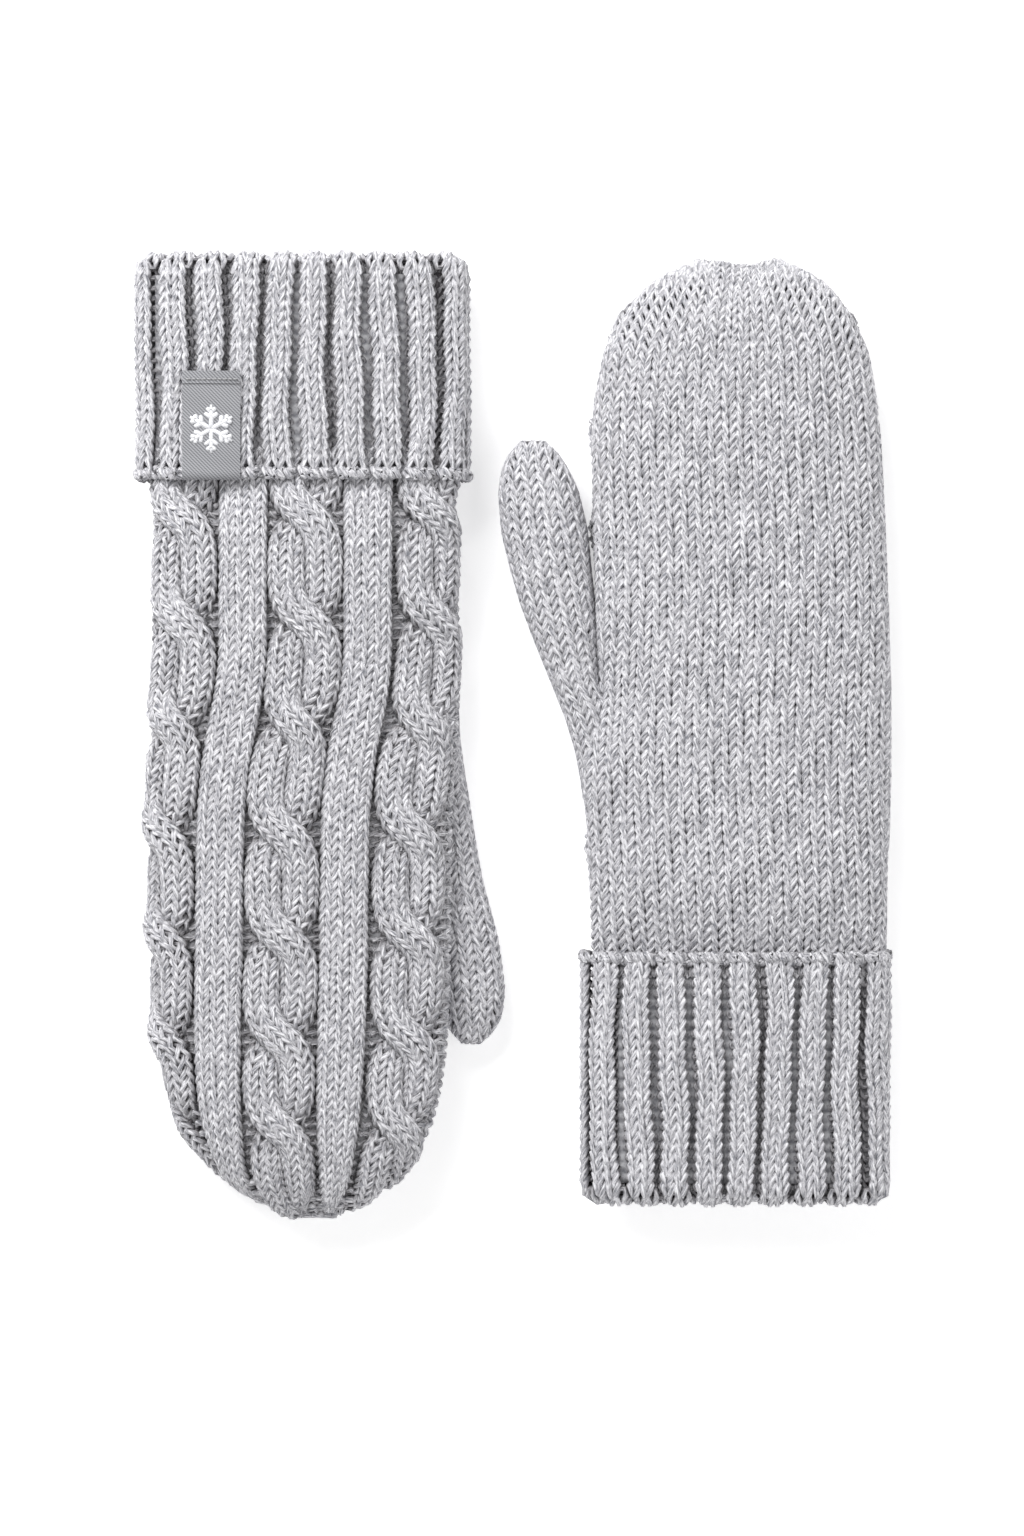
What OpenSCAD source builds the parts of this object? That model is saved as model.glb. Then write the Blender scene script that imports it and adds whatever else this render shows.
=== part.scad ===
// A pair of knitted mittens with turned-back ribbed cuffs, laid flat.
// World frame: +Z up from the table, +X to the left-hand mitten, +Y along its fingers.
// Each mitten is drawn in its own plan: y from the wrist fold to the fingertips, thumb at -x.
// The right-hand mitten is turned half round, back up; the left-hand one lies palm up.

/* [Size] */
// Length of one mitten with its cuff turned down, in mm
unfolded_l = 340; // [320:1:360]
// Width of the hand across the palm
hand_w = 89; // [84:1:94]
// Height of the mitten over the table
hand_t = 28; // [27:0.5:30]
// Part of the right-hand cuff that is turned back
fold_right = 62.6; // [58:0.2:66]
// Part of the left-hand cuff that is turned back
fold_left = 70.2; // [66:0.2:74]

/* [Fabric] */
// Thickness of the knitted shell
shell_t = 3; // [2.6:0.1:3.2]
// Thickness of the lining
lining_t = 2; // [1.5:0.1:2.2]
// Thickness of the ribbed cuff fabric
rib_t = 3.4; // [3:0.1:3.6]
// Play between parts that slide or turn
play = 0.5; // [0.4:0.1:0.7]

/* [Cuffs] */
// Width of the right-hand cuff
cuff_w_right = 98; // [96:1:102]
// Width of the left-hand cuff
cuff_w_left = 90.8; // [90:0.2:94]
// Height of both cuffs over the table
cuff_t = 27; // [26.5:0.1:27]

/* [Joints] */
// Radius of the round thumb base
thumb_r = 15.5; // [15.2:0.1:16]
// Distance from the fingertips to the knuckle line
knuckle_d = 98; // [95:1:104]

/* [Label] */
// Width of the woven label
label_w = 16.6; // [14:0.2:20]
// Length of the woven label on the cuff
label_l = 30.4; // [26:0.2:34]

/* [Output] */

/* [Hidden] */
R = 0;                             // index of the right-hand mitten in the pairs below
L = 1;                             // index of the left-hand mitten
fold = [fold_right, fold_left];
cuff_w = [cuff_w_right, cuff_w_left];
len = [unfolded_l - 0.4 - fold_right, unfolded_l + 0.8 - fold_left];
half_l = len[R] / 2;
kx = hand_w / 89;
wool = [0.73, 0.73, 0.745];
wool_dark = [0.66, 0.66, 0.675];
fleece = [0.80, 0.80, 0.81];
eps = 0.05;
around = 28;                       // points around a hand section
thumb_around = 20;                 // points around a thumb section
knuckle_z = hand_t - 11.5;         // height of the knuckle hinge line
knuckle_r = 13.8;                  // clear of the turned fingers up to 60 degrees
cuff_x = [-110 + cuff_w[R] / 2, 64.6];
world_y = [half_l, -half_l + (len[R] - len[L]) - 0.3];

// Half widths of the hand: distance from the fingertips, little-finger side, thumb side.
edge = [
  [[2, 3, -9.5], [5.5, 12, -14.5], [11, 21.2, -23], [18, 28.5, -31], [26, 34.7, -37],
   [36, 39.6, -40], [48, 42, -42], [63, 43, -43.2], [92, 43.8, -43.8], [121, 44.4, -44],
   [137, 44.4, -45.6], [150, 44.4, -46.1], [179, 44.2, -45.5], [200, 43.9, -44.9]],
  [[2, 13, -9], [5.6, 24.3, -19], [11.6, 31, -27.9], [18, 35.5, -32.5], [26, 39.4, -36.6],
   [40.6, 41.7, -40.1], [52, 42.4, -41.8], [69.6, 43.4, -41.8], [98.6, 44.6, -39.6],
   [120, 45.2, -38.4], [128, 45.4, -38.3], [134, 45.4, -47.4], [148, 45.4, -45.9],
   [162, 45, -43.9], [180, 44.2, -43], [190, 43.8, -42.4]]];
// Thumb: distance from the fingertips, outer side, inner side, underside, top.
thumb_rows = [
  [[138, -46, -30, 3, 24], [127, -47.6, -31, 0.8, 16.4], [112, -50, -32.5, 0, 15.2],
   [97.8, -52.4, -33.5, 0, 15], [80.4, -57.1, -36.5, 0, 15], [65.9, -59.1, -38, 0.3, 14.6],
   [59, -58.4, -39.5, 1, 13.8], [55, -56.6, -41.5, 2, 12.8], [52, -53.5, -44, 3.4, 11.2],
   [50.2, -51, -46.5, 5, 9.6]],
  [[130.7, -50.4, -34, 2, 20], [121.7, -54, -39, 1, 20.5], [113.7, -57.2, -39.4, 0.3, 21],
   [107.2, -59.8, -39.8, 0, 21], [98.7, -62.9, -40.4, 0, 21], [89.8, -65.6, -41.4, 0, 21],
   [78.2, -68.5, -42.6, 0, 20.5], [66.6, -69.4, -45.3, 0.6, 19.5], [60.7, -68.6, -48.1, 1.8, 18],
   [56.5, -66.6, -51.1, 3.4, 16.4], [53.7, -62.6, -55.6, 5.6, 14]]];
thumb_axis = [[-32, 140], [-35.6, 132.7]];   // hinge of each thumb: x and distance from the tips
tip_x = [-3.3, 1.6];
// Height of the widest line on the thumb side: the right-hand mitten's edge rides over its thumb.
index_z = [18.5, 13];
little_z = 13;

function yl(m, d) = len[m] - d;
function ramp(v, a, b) = max(0, min(1, (v - a) / (b - a)));
function tip_lo(d) = lookup(d, [[0, 9], [2, 8], [5.6, 5], [11.5, 2.6], [18, 1], [26, 0.2], [36, 0]]);
function tip_hi(d) = hand_t - lookup(d, [[0, 11], [2, 9.6], [5.6, 6.4], [11.5, 3.6], [18, 1.7],
                                         [26, 0.6], [36, 0]]);
function wrist_in(e) = lookup(e, [[-10, 3.8], [1.5, 3.8], [8, 1.7], [15, 0.5], [22, 0]]);
function lo(m, d) = max(tip_lo(d), wrist_in(yl(m, d) - fold[m]));
function hi(m, d) = min(tip_hi(d), cuff_t - wrist_in(yl(m, d) - fold[m])
                        + (hand_t - cuff_t) * ramp(yl(m, d) - fold[m], 4, 22));

// One closed section: superellipse quarters that share the highest and lowest points.
function section(y, xl, xr, zb, zt, zl, zr, nu, nll, nlr, n) = [for (i = [0:n - 1])
  let (t = 360 * i / n, c = cos(t), s = sin(t), xc = (xl + xr) / 2,
       nq = s >= 0 ? nu : (c >= 0 ? nlr : nll),
       k = pow(abs(c), 2 / nq), h = pow(abs(s), 2 / nq),
       zs = c >= 0 ? zr : zl,
       x = c >= 0 ? xc + (xr - xc) * k : xc - (xc - xl) * k,
       z = s >= 0 ? zs + (zt - zs) * h : zs - (zs - zb) * h)
  [x, y, z]];

// The sections from the wrist to the fingertips, drawn in by w on every side.
function hand_rings(m, w, start) = let (
    f = fold[m],
    wrist = cuff_w[m] / 2 - rib_t - play - 0.3,
    hidden = [for (e = start) [len[m] - f - e, wrist, -wrist]],
    shown = [for (i = [len(edge[m]) - 1:-1:(w > 4 ? 2 : 0)]) edge[m][i]])
  [for (row = concat(hidden, shown))
    let (d = row[0], e = yl(m, d) - f, on = ramp(e, 2, 22) * kx + (1 - ramp(e, 2, 22)),
         lifted = m == R ? ramp(d, 160, 138) : 0,
         zi = 13.5 + (index_z[m] - 13.5) * max(lifted, m == L ? 0.9 : 0),
         b = lo(m, d) + w, t = hi(m, d) - w, mid = (b + t) / 2, far = abs(t - b) < 2)
    section(yl(m, d) - w * 1.3 * max(0, 1 - d / 40), row[2] * on + w, row[1] * on - w,
            far ? mid - 1 : b, far ? mid + 1 : t,
            far ? mid : min(t - 0.6, max(b + 0.6, zi * ramp(d, 0, 30) + mid * (1 - ramp(d, 0, 30)))),
            far ? mid : min(t - 0.6, max(b + 0.6, little_z * ramp(d, 0, 30) + mid * (1 - ramp(d, 0, 30)))),
            2.5, 3.4 - 2.55 * lifted, 3.4, around)];

function thumb_rings(m, w, from) = [for (i = [from:len(thumb_rows[m]) - 1 - (w > 3 ? 1 : 0)])
  let (r = thumb_rows[m][i], b = r[3] + w, t = r[4] - w, mid = (b + t) / 2, thin = t - b < 1.6,
       tip = max(0, 1 - (r[0] - 50) / 14))
  section(yl(m, r[0]) - w * tip, r[1] + min(w, (r[2] - r[1]) / 2 - 0.8),
          r[2] - min(w, (r[2] - r[1]) / 2 - 0.8),
          thin ? mid - 0.8 : b, thin ? mid + 0.8 : t, mid, mid, 2.3, 2.3, 2.3, thumb_around)];

// A closed skin through rings that all have the same number of points.
module skin(rings) {
  n = len(rings[0]); k = len(rings);
  polyhedron(points = [for (r = rings) for (p = r) p],
    faces = concat([[for (j = [n - 1:-1:0]) j]], [[for (j = [0:n - 1]) (k - 1) * n + j]],
      [for (i = [0:k - 2]) for (j = [0:n - 1]) for (q = [0, 1])
        let (a = i * n + j, b = i * n + (j + 1) % n, c = a + n, d = b + n)
        q == 0 ? [a, b, d] : [a, d, c]]));
}

module place(m) {
  translate([cuff_x[m], world_y[m], 0]) rotate([0, 0, m == R ? 180 : 0]) children();
}

// Solid forms of the hand: outside, inside of the shell, outside and inside of the lining.
module hand_form(m, w, open = false) { skin(hand_rings(m, w, open ? [-12, -2.4, 1.5] : [-2.4, 1.5])); }
module hand_shell(m) { difference() { hand_form(m, 0); hand_form(m, shell_t, true); } }
module hand_lining(m) {
  difference() {
    hand_form(m, shell_t + 0.2);
    hand_form(m, shell_t + 0.2 + lining_t, true);
  }
}

// The round thumb base, with a margin g around it.
module thumb_disc(m, g) {
  translate([thumb_axis[m][0], yl(m, thumb_axis[m][1]), -5]) cylinder(h = 40, r = thumb_r + g, $fn = 64);
}

// What belongs to the fingers, past the knuckle line, and what the hand must leave free for them.
module finger_side(m) {
  y0 = yl(m, knuckle_d);
  union() {
    translate([-80, y0 + play / 2, -5]) cube([160, 200, 50]);
    intersection() {
      translate([-80, y0, knuckle_z]) rotate([0, 90, 0]) cylinder(h = 160, r = knuckle_r, $fn = 64);
      translate([-80, y0 - knuckle_r * 0.45, knuckle_z + 8.5]) cube([160, knuckle_r, 30]);
    }
  }
}
module finger_room(m) {
  y0 = yl(m, knuckle_d);
  union() {
    translate([-80, y0 - play / 2, -5]) cube([160, 200, 50]);
    intersection() {
      translate([-80, y0, knuckle_z]) rotate([0, 90, 0])
        cylinder(h = 160, r = knuckle_r + play, $fn = 64);
      translate([-80, y0 - 30, knuckle_z - 3]) cube([160, 31, 40]);
    }
  }
}

// Height bands that part the shell into upper panel, side seams and lower panel.
module above(m, g) {
  translate([-80, -5, index_z[m] + g]) cube([80, 320, 60]);
  translate([-eps, -5, little_z + g]) cube([80, 320, 60]);
}
module below(m, g) {
  translate([-80, -5, index_z[m] - g - 60]) cube([80, 320, 60]);
  translate([-eps, -5, little_z - g - 60]) cube([80, 320, 60]);
}
module little_band(m) { translate([4, -5, little_z - 0.95]) cube([80, 320, 1.9]); }
module index_band(m) { translate([-84, -5, index_z[m] - 0.95]) cube([80, 320, 1.9]); }

module hand_part(m) { difference() { children(); finger_room(m); thumb_disc(m, play); } }
module finger_part(m) { intersection() { children(); finger_side(m); } }

module upper_hand(m) { hand_part(m) intersection() { hand_shell(m); above(m, 1); } }
module lower_hand(m) { hand_part(m) intersection() { hand_shell(m); below(m, 1); } }
module upper_fingers(m) { finger_part(m) intersection() { hand_shell(m); above(m, 1); } }
module lower_fingers(m) { finger_part(m) intersection() { hand_shell(m); below(m, 1); } }
module little_seam_hand(m) { hand_part(m) intersection() { hand_shell(m); little_band(m); } }
module index_seam_hand(m) { hand_part(m) intersection() { hand_shell(m); index_band(m); } }
module little_seam_fingers(m) { finger_part(m) intersection() { hand_shell(m); little_band(m); } }
module index_seam_fingers(m) { finger_part(m) intersection() { hand_shell(m); index_band(m); } }
module lining_hand(m) { hand_part(m) hand_lining(m); }
module lining_fingers(m) { finger_part(m) hand_lining(m); }

// The drawn-up last round at the fingertips.
module tip_gather(m) {
  translate([tip_x[m], len[m] - 1.9, (tip_lo(2) + tip_hi(2)) / 2]) rotate([-90, 0, 0])
    rotate_extrude($fn = 32) union() { square([3.4, 0.8]); translate([0, 0.8]) square([2.4, 1.1]); }
}

// Thumb: a tube that starts in the round base.
thumb_wall = shell_t - 0.6;
thumb_lining_t = lining_t - 0.6;
module thumb_form(m, w, from = 0) { skin(thumb_rings(m, w, from)); }
module thumb_cut(m) { translate([-90, yl(m, thumb_axis[m][1] - thumb_r) + 1.7, -5]) cube([120, 120, 50]); }
module thumb_seam_band(m) {
  translate([-90, yl(m, thumb_axis[m][1] - thumb_r) + 0.1, -5]) cube([120, 1.5, 50]);
}
module thumb_root_band(m) { translate([-90, 60, -5]) cube([120, yl(m, thumb_axis[m][1] - thumb_r) - 60, 50]); }
module thumb_shell(m) { difference() { thumb_form(m, 0); thumb_form(m, thumb_wall); } }
module thumb_tube(m) { intersection() { thumb_shell(m); thumb_cut(m); } }
module thumb_seam(m) { intersection() { thumb_shell(m); thumb_seam_band(m); } }
module thumb_gusset(m) {
  difference() {
    union() {
      intersection() { thumb_form(m, 0); thumb_root_band(m); }
      intersection() { hand_form(m, 0); thumb_disc(m, 0); }
    }
    thumb_form(m, thumb_wall);
    hand_form(m, shell_t, true);
  }
}
module thumb_lining(m) {
  intersection() {
    difference() {
      thumb_form(m, thumb_wall + 0.2);
      thumb_form(m, thumb_wall + 0.2 + thumb_lining_t);
    }
    thumb_cut(m);
  }
}
module thumb_gather(m) {
  last = thumb_rows[m][len(thumb_rows[m]) - 1];
  translate([(last[1] + last[2]) / 2, yl(m, last[0]) + eps, (last[3] + last[4]) / 2])
    rotate([-90, 0, 0]) rotate_extrude($fn = 24) union() {
      square([2, 0.7]); translate([0, 0.7]) square([1.3, 0.8]);
    }
}

// Cuffs: flattened tubes with half-round sides.
module oval(w, t) {
  union() {
    square([w - t, t], center = true);
    for (s = [-1, 1]) translate([s * (w - t) / 2, 0]) circle(d = t, $fn = 64);
  }
}
module oval_tube(w, t, wall, y, l) {
  translate([0, y + l, cuff_t / 2]) rotate([90, 0, 0]) linear_extrude(height = l)
    difference() { oval(w, t); oval(w - 2 * wall, t - 2 * wall); }
}
inner_t = cuff_t - 2 * (rib_t + play);
module inner_cuff(m) {
  oval_tube(cuff_w[m] - 2 * (rib_t + play), inner_t, rib_t - 0.4, rib_t + play,
            fold[m] - 2.5 - rib_t - play);
}
// The rolled fold: half a round bead that follows the oval.
module fold_roll(m) {
  w = cuff_w[m]; r = rib_t;
  intersection() {
    translate([-80, 0, -5]) cube([160, r, 50]);
    translate([0, r, cuff_t / 2]) union() {
      for (s = [-1, 1]) {
        translate([-(w - cuff_t) / 2, 0, s * (cuff_t / 2 - r)]) rotate([0, 90, 0])
          cylinder(h = w - cuff_t, r = r, $fn = 48);
        translate([s * (w - cuff_t) / 2, 0, 0]) rotate([90, 0, 0])
          rotate([0, 0, s > 0 ? -90 : 90]) rotate_extrude(angle = 180, $fn = 64)
            translate([cuff_t / 2 - r, 0]) circle(r = r, $fn = 48);
      }
    }
  }
}
module turned_cuff(m) {
  union() {
    oval_tube(cuff_w[m], cuff_t, rib_t, rib_t - eps, fold[m] - rib_t + eps);
    fold_roll(m);
  }
}

// Label: a woven strip folded over the edge of the turned-back cuff.
label_x = 25.8;
label_th = 1;
module label() {
  top = cuff_t + eps;
  translate([label_x - label_w / 2, fold[R] - label_l, top]) cube([label_w, label_l + 1.05, label_th]);
  translate([label_x - label_w / 2, fold[R] + eps, top - 2.8]) cube([label_w, 1, 2.8 + label_th]);
}
module label_star() {
  translate([label_x, fold[R] - label_l * 0.43, cuff_t + eps + label_th]) linear_extrude(height = 0.3)
    for (a = [0, 60, 120]) rotate(a) square([1.1, 11], center = true);
}
module label_stitch() {
  translate([label_x - label_w / 2 + 0.8, fold[R] - label_l + 1.8, cuff_t + eps + label_th])
    cube([label_w - 1.6, 0.8, 0.3]);
}

module right_back_hand() { color(wool) place(R) upper_hand(R); }
module right_palm_hand() { color(wool) place(R) lower_hand(R); }
module right_little_seam_hand() { color(wool_dark) place(R) little_seam_hand(R); }
module right_index_seam_hand() { color(wool_dark) place(R) index_seam_hand(R); }
module right_inner_cuff() { color(wool_dark) place(R) inner_cuff(R); }
module right_lining_hand() { color(fleece) place(R) lining_hand(R); }
module right_back_fingers() { color(wool) place(R) upper_fingers(R); }
module right_palm_fingers() { color(wool) place(R) lower_fingers(R); }
module right_little_seam_fingers() { color(wool_dark) place(R) little_seam_fingers(R); }
module right_index_seam_fingers() { color(wool_dark) place(R) index_seam_fingers(R); }
module right_lining_fingers() { color(fleece) place(R) lining_fingers(R); }
module right_tip_gather() { color(wool_dark) place(R) tip_gather(R); }
module right_thumb_gusset() { color(wool) place(R) thumb_gusset(R); }
module right_thumb_seam() { color(wool_dark) place(R) thumb_seam(R); }
module right_thumb() { color(wool) place(R) thumb_tube(R); }
module right_thumb_lining() { color(fleece) place(R) thumb_lining(R); }
module right_thumb_gather() { color(wool_dark) place(R) thumb_gather(R); }
module right_turned_cuff() { color(wool) place(R) turned_cuff(R); }
module right_label() { color([0.5, 0.5, 0.52]) place(R) label(); }
module right_label_star() { color([0.93, 0.93, 0.93]) place(R) label_star(); }
module right_label_stitch() { color([0.6, 0.6, 0.62]) place(R) label_stitch(); }
module left_palm_hand() { color(wool) place(L) upper_hand(L); }
module left_back_hand() { color(wool) place(L) lower_hand(L); }
module left_little_seam_hand() { color(wool_dark) place(L) little_seam_hand(L); }
module left_index_seam_hand() { color(wool_dark) place(L) index_seam_hand(L); }
module left_inner_cuff() { color(wool_dark) place(L) inner_cuff(L); }
module left_lining_hand() { color(fleece) place(L) lining_hand(L); }
module left_palm_fingers() { color(wool) place(L) upper_fingers(L); }
module left_back_fingers() { color(wool) place(L) lower_fingers(L); }
module left_little_seam_fingers() { color(wool_dark) place(L) little_seam_fingers(L); }
module left_index_seam_fingers() { color(wool_dark) place(L) index_seam_fingers(L); }
module left_lining_fingers() { color(fleece) place(L) lining_fingers(L); }
module left_tip_gather() { color(wool_dark) place(L) tip_gather(L); }
module left_thumb_gusset() { color(wool) place(L) thumb_gusset(L); }
module left_thumb_seam() { color(wool_dark) place(L) thumb_seam(L); }
module left_thumb() { color(wool) place(L) thumb_tube(L); }
module left_thumb_lining() { color(fleece) place(L) thumb_lining(L); }
module left_thumb_gather() { color(wool_dark) place(L) thumb_gather(L); }
module left_turned_cuff() { color(wool) place(L) turned_cuff(L); }

right_back_hand();
right_palm_hand();
right_little_seam_hand();
right_index_seam_hand();
right_inner_cuff();
right_lining_hand();
right_back_fingers();
right_palm_fingers();
right_little_seam_fingers();
right_index_seam_fingers();
right_lining_fingers();
right_tip_gather();
right_thumb_gusset();
right_thumb_seam();
right_thumb();
right_thumb_lining();
right_thumb_gather();
right_turned_cuff();
right_label();
right_label_star();
right_label_stitch();
left_palm_hand();
left_back_hand();
left_little_seam_hand();
left_index_seam_hand();
left_inner_cuff();
left_lining_hand();
left_palm_fingers();
left_back_fingers();
left_little_seam_fingers();
left_index_seam_fingers();
left_lining_fingers();
left_tip_gather();
left_thumb_gusset();
left_thumb_seam();
left_thumb();
left_thumb_lining();
left_thumb_gather();
left_turned_cuff();
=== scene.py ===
# %% [markdown]
# # A pair of cable-knit mittens
# Two chunky mittens lie flat on a pale table. The right-hand one shows its cabled back, the
# left-hand one its plain palm. Knitting is yarn, so the yarn itself is modelled: each course is
# one long strand that loops through its neighbours. A strand made of loops can't be shaped by
# extruding a primitive, so its centreline is a formula and a tube is swept along it. The packed
# model gives the bodies and the joints.

# %% Load the frame
import math
import bpy
import numpy as np
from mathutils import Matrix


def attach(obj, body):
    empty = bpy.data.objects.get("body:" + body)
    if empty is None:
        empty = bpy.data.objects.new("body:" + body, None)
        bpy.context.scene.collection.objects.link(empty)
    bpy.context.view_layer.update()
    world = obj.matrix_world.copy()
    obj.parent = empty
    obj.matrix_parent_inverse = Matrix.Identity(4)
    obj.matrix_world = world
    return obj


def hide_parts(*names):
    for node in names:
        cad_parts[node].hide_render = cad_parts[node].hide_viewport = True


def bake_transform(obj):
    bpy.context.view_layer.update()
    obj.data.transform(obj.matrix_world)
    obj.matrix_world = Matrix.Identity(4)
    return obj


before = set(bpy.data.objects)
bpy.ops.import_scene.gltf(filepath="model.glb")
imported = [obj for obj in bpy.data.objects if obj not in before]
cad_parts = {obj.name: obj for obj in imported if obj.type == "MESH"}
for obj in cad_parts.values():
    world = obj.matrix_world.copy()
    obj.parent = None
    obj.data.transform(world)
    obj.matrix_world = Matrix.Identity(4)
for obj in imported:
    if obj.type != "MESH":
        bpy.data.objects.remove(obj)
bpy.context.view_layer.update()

bpy.ops.object.select_all(action="DESELECT")
MM = 0.001
random = np.random.default_rng(7)

# %% [markdown]
# ## The form of each mitten
# The form is built as the solid model's is: half widths of the hand from the fingertips to the
# wrist, and a rounded section at each place. The fingertips are fuller here than in the solid
# model, and so is most of the left hand's thumb side, which is slimmer beside the gusset.
# `d` is the distance from the fingertips in mm, and
# a mitten's own plan has y from the wrist fold to the tips with the thumb at -x.

# %% Sizes
HAND_T = 28.0
CUFF_T = 27.0
FOLD = {"right": 62.6, "left": 70.2}
LENGTH = {"right": 277.0, "left": 270.6}
CUFF_X = {"right": -61.0, "left": 64.6}
WORLD_Y = {"right": 138.5, "left": -132.4}
CUFF_W = {"right": 98.0, "left": 90.8}
INDEX_Z = {"right": 18.5, "left": 13.0}
LITTLE_Z = 13.0
TIP_X = {"right": -3.3, "left": 1.6}
KNUCKLE_D = 98.0
EDGE = {
    "right": [[0, 2, -8], [2, 5.5, -12.5], [5.5, 14, -19], [11, 22.8, -27.2], [18, 28.2, -32.6],
              [26, 33.2, -38], [36, 38.8, -40.6], [48, 41.4, -42.4], [63, 43, -43.2],
              [92, 43.8, -43.8], [121, 44.4, -44], [137, 44.4, -45.6], [150, 44.4, -46.1],
              [179, 44.2, -45.5], [200, 43.9, -44.9], [222, 43.9, -44.9]],
    "left": [[0, 9, -8], [2, 16, -14.5], [5.6, 25.3, -23.6], [11.6, 31, -30.4], [18, 35, -34.4],
             [26, 39, -39], [40.6, 41.4, -41.8], [52, 42.4, -42.4], [69.6, 43.4, -42.3],
             [98.6, 44.6, -41.5], [120, 45.2, -40.4], [128, 45.4, -40], [134, 45.4, -42.8],
             [148, 45.4, -45.9], [162, 45, -43.9], [180, 44.2, -43], [210, 43.8, -42.4]],
}
THUMB = {
    "right": [[150, -45.4, -31, 5, 23], [138, -46, -30, 3, 24],
              [127, -47.6, -31, 0.8, 16.4], [112, -50, -32.5, 0, 15.2],
              [97.8, -52.4, -33.5, 0, 15], [80.4, -57.1, -36.5, 0, 15],
              [65.9, -59.1, -38, 0.3, 14.6], [59, -58.4, -39.5, 1, 13.8],
              [55, -56.6, -41.5, 2, 12.8], [52, -53.5, -44, 3.4, 11.2], [50.2, -51, -46.5, 5, 9.6]],
    "left": [[152, -45.2, -31, 4, 18], [141, -47.2, -32, 3, 19], [130.7, -50.4, -34, 2, 20],
             [121.7, -54, -39, 1, 20.5], [113.7, -57.2, -39.4, 0.3, 21],
             [107.2, -59.8, -39.8, 0, 21], [98.7, -63, -40.4, 0, 21], [89.8, -65.6, -41.4, 0, 21],
             [78.2, -68.5, -42.5, 0, 20.5], [66.6, -69.4, -45.1, 0.6, 19.5],
             [60.7, -68.7, -47.8, 1.8, 18], [55.6, -66.6, -50.9, 3.4, 16.4],
             [52.3, -63, -55, 5.6, 14]],
}
TIP_LOW = [[0, 9], [2, 8], [5.6, 5], [11.5, 2.6], [18, 1], [26, 0.2], [36, 0]]
TIP_HIGH = [[0, 11], [2, 9.6], [5.6, 6.4], [11.5, 3.6], [18, 1.7], [26, 0.6], [36, 0]]


# %% [markdown]
# ## Curves through the sizes
# The size tables give a few places only. Straight lines between them would leave creases in
# the fabric, and a spline could swing out past the sizes, so each column is drawn straight and
# then averaged over a few mm.

# %% Smooth curves through the sizes
def curve(rows, column, at, soften=2.0):
    """A column of a size table at the places `at`, with its corners softened."""
    rows = np.array(sorted(rows), float)
    fine = np.arange(rows[0, 0] - 20, rows[-1, 0] + 20, 0.5)
    values = np.interp(fine, rows[:, 0], rows[:, column])
    reach = int(6 * soften)
    weight = np.exp(-0.5 * (np.arange(-reach, reach + 1) * 0.5 / soften) ** 2)
    padded = np.pad(values, reach, mode="edge")
    return np.interp(at, fine, np.convolve(padded, weight / weight.sum(), mode="valid"))


def ramp(value, low, high):
    """0 before low, 1 after high, and smooth between."""
    t = np.clip((value - low) / (high - low), 0, 1)
    return t * t * (3 - 2 * t)


def place(side, points):
    """Points of a mitten's own plan, in the shared frame, still in mm."""
    turned = points.copy()
    sign = -1 if side == "right" else 1
    turned[..., 0] = CUFF_X[side] + sign * points[..., 0]
    turned[..., 1] = WORLD_Y[side] + sign * points[..., 1]
    return turned


# %% [markdown]
# ## Sections
# Laid flat, a mitten is a low rounded box: almost flat above and below, with round sides. A
# superellipse has that shape and one number sets how square it is. Both hand and thumb are
# rows of such sections, and the same sections serve the yarn and the lining inside it.

# %% Sections
def oval(x_low, x_high, z_low, z_high, z_thumb, z_little, angle, upper, lower):
    """Points of a rounded section: superellipse quarters about its widest lines."""
    c, s = np.cos(angle), np.sin(angle)
    power = np.where(s >= 0, upper, lower)
    k, h = np.abs(c) ** (2 / power), np.abs(s) ** (2 / power)
    middle, z_side = (x_low + x_high) / 2, np.where(c >= 0, z_little, z_thumb)
    x = np.where(c >= 0, middle + (x_high - middle) * k, middle - (middle - x_low) * k)
    z = np.where(s >= 0, z_side + (z_high - z_side) * h, z_side - (z_side - z_low) * h)
    return x, z


def hand_section(side, d, angle, inset):
    """A section of the hand at d, drawn in by inset."""
    y = LENGTH[side] - d
    beyond = y - FOLD[side]
    wrist = np.interp(beyond, [-10, 1.5, 8, 15, 22], [3.8, 3.8, 1.7, 0.5, 0])
    low = np.maximum(curve(TIP_LOW, 1, d, 1), wrist) + inset
    high = np.minimum(HAND_T - curve(TIP_HIGH, 1, d, 1), CUFF_T - wrist + ramp(beyond, 4, 22))
    high = high - inset
    right, left = curve(EDGE[side], 1, d) - inset, curve(EDGE[side], 2, d) + inset
    right, left = np.maximum(right, TIP_X[side] + 0.5), np.minimum(left, TIP_X[side] - 0.5)
    lifted = ramp(160 - d, 0, 22) if side == "right" else 0 * d
    middle, tip = (low + high) / 2, ramp(d, 0, 30)
    share = lifted if side == "right" else 0.9
    z_thumb = (13.5 + (INDEX_Z[side] - 13.5) * share) * tip + middle * (1 - tip)
    z_little = LITTLE_Z * tip + middle * (1 - tip)
    lower = np.where(np.cos(angle) < 0, 3.4 - 2.55 * lifted, 3.4)
    x, z = oval(left, right, low, high, np.clip(z_thumb, low + 0.6, high - 0.6),
                np.clip(z_little, low + 0.6, high - 0.6), angle, 2.5, lower)
    if side == "left":
        dip = 2.0 * np.exp(-((x - 1.9) / 3.6) ** 2) - 0.5
        y = y - dip * np.exp(-(d / 9) ** 2)
    return np.stack([x, y + 0 * x, z], -1)


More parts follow.
